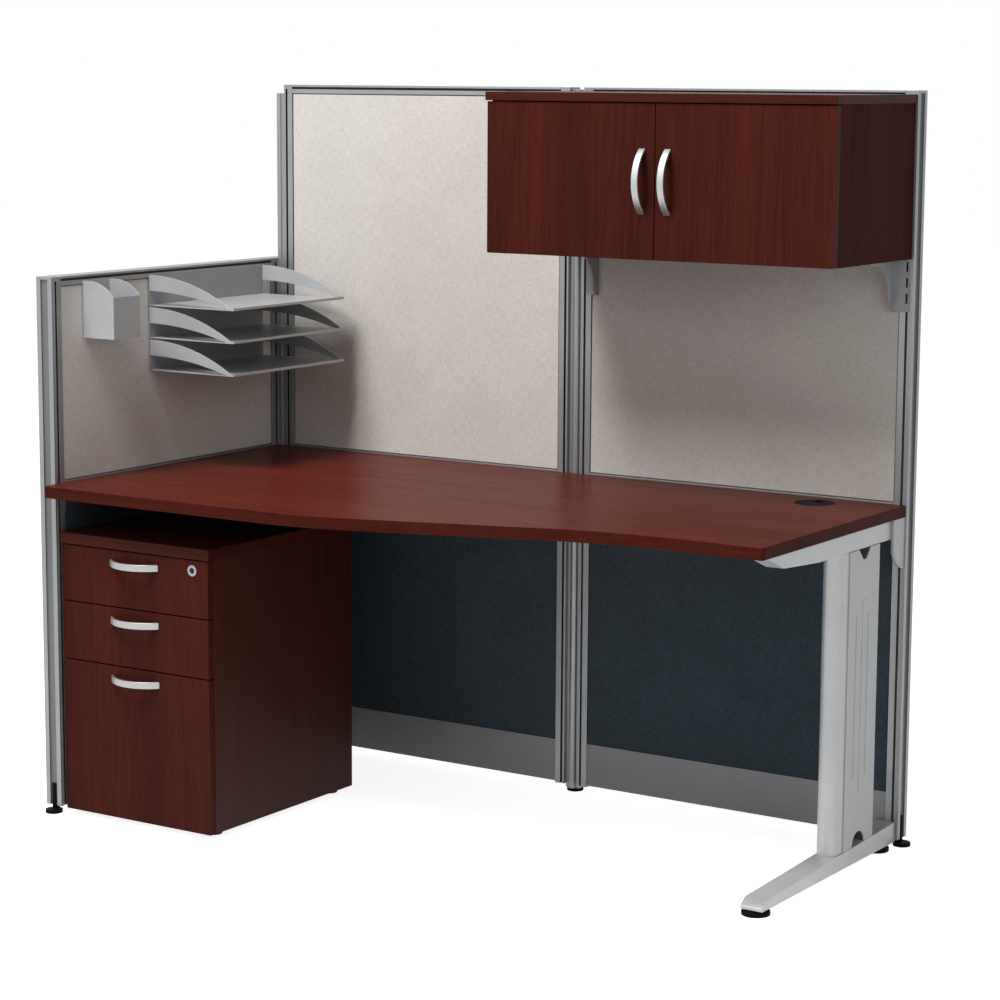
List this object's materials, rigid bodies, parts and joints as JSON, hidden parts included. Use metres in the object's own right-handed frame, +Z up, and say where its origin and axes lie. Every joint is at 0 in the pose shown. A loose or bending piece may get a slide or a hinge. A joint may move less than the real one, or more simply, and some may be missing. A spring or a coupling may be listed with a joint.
{
  "type": "cubicle workstation",
  "caption": "Cubicle workstation: fabric panels, S-curved desktop on a side leg, overhead cabinet, drawer pedestal, paper tray and pencil cup.",
  "frame": {"origin": "centre of the bounding box on the floor", "axes": "+X along the back panels to the right as seen from the chair, +Y to the back panels, +Z up"},
  "size_m": [1.719, 0.882, 1.6],
  "materials": {
    "frame_aluminium": "satin",
    "upper_fabric": "matte woven, beige",
    "lower_fabric": "matte woven, slate blue",
    "kick_paint": "satin grey",
    "black_plastic": "matte",
    "desktop_laminate": "semi-gloss cherry laminate",
    "case_laminate": "satin cherry laminate",
    "door_laminate": "satin cherry laminate",
    "leg_paint": "satin silver",
    "cover_plastic": "satin silver",
    "bracket_paint": "satin silver",
    "handle_metal": "satin",
    "drawer_steel": "satin",
    "hinge_steel": "satin",
    "tray_paint": "satin grey",
    "lock_chrome": "polished"
  },
  "bodies": {
    "station": {"side_frame": "frame_aluminium", "side_upper_tile": "upper_fabric", "side_lower_tile": "lower_fabric", "left_frame": "frame_aluminium", "left_upper_tile": "upper_fabric", "left_lower_tile": "lower_fabric", "right_frame": "frame_aluminium", "right_upper_tile": "upper_fabric", "right_lower_tile": "lower_fabric", "kick_plates": "kick_paint", "corner_post": "frame_aluminium", "middle_post": "frame_aluminium", "side_end_trim": "frame_aluminium", "right_end_trim": "frame_aluminium", "corner_caps": "frame_aluminium", "panel_feet": "black_plastic", "desktop": "desktop_laminate", "cable_liner": "black_plastic", "leg_foot": "leg_paint", "leg_column": "leg_paint", "leg_cover": "cover_plastic", "leg_arm": "leg_paint", "leg_discs": "black_plastic", "desk_brackets": "bracket_paint", "desk_side_rail": "bracket_paint", "cabinet_top": "case_laminate", "cabinet_bottom": "case_laminate", "cabinet_side_left": "case_laminate", "cabinet_side_right": "case_laminate", "cabinet_back": "case_laminate", "hinge_plates": "hinge_steel", "cabinet_bracket_left": "bracket_paint", "cabinet_bracket_right": "bracket_paint", "tray_plate": "tray_paint", "tray_shelves": "tray_paint", "pencil_cup": "tray_paint", "pedestal_top": "case_laminate", "pedestal_sides": "case_laminate", "pedestal_back": "case_laminate", "pedestal_bottom": "case_laminate", "pedestal_feet": "black_plastic", "drawer_runners": "drawer_steel"},
    "door_left": {"door_left": "door_laminate", "door_handle_left": "handle_metal", "hinge_arms_left": "hinge_steel"},
    "door_right": {"door_right": "door_laminate", "door_handle_right": "handle_metal", "hinge_arms_right": "hinge_steel"},
    "drawer_top": {"drawer_front_top": "door_laminate", "drawer_box_top": "drawer_steel", "drawer_handle_top": "handle_metal"},
    "drawer_middle": {"drawer_front_middle": "door_laminate", "drawer_box_middle": "drawer_steel", "drawer_handle_middle": "handle_metal"},
    "drawer_bottom": {"drawer_front_bottom": "door_laminate", "drawer_box_bottom": "drawer_steel", "drawer_handle_bottom": "handle_metal"},
    "lock": {"lock_barrel": "lock_chrome"},
    "cap": {"cable_cap": "black_plastic"}
  },
  "joints": [
    {"name": "door_left_hinge", "type": "hinge", "parent": "station", "child": "door_left", "pos_m": [0.0235, 0.033, 1.4135], "axis": [0, 0, -1], "range_deg": [0, 105]},
    {"name": "door_right_hinge", "type": "hinge", "parent": "station", "child": "door_right", "pos_m": [0.8355, 0.033, 1.4135], "axis": [0, 0, 1], "range_deg": [0, 105]},
    {"name": "drawer_top_slide", "type": "slide", "parent": "station", "child": "drawer_top", "axis": [0, -1, 0], "range_m": [0, 0.36]},
    {"name": "drawer_middle_slide", "type": "slide", "parent": "station", "child": "drawer_middle", "axis": [0, -1, 0], "range_m": [0, 0.36]},
    {"name": "drawer_bottom_slide", "type": "slide", "parent": "station", "child": "drawer_bottom", "axis": [0, -1, 0], "range_m": [0, 0.42]},
    {"name": "lock_turn", "type": "hinge", "parent": "drawer_top", "child": "lock", "pos_m": [-0.4425, -0.388, 0.585], "axis": [0, 1, 0], "range_deg": [0, 90]},
    {"name": "cap_turn", "type": "hinge", "parent": "station", "child": "cap", "pos_m": [0.6645, 0.32, 0.74], "axis": [0, 0, 1], "range_deg": [-180, 180]}
  ]
}
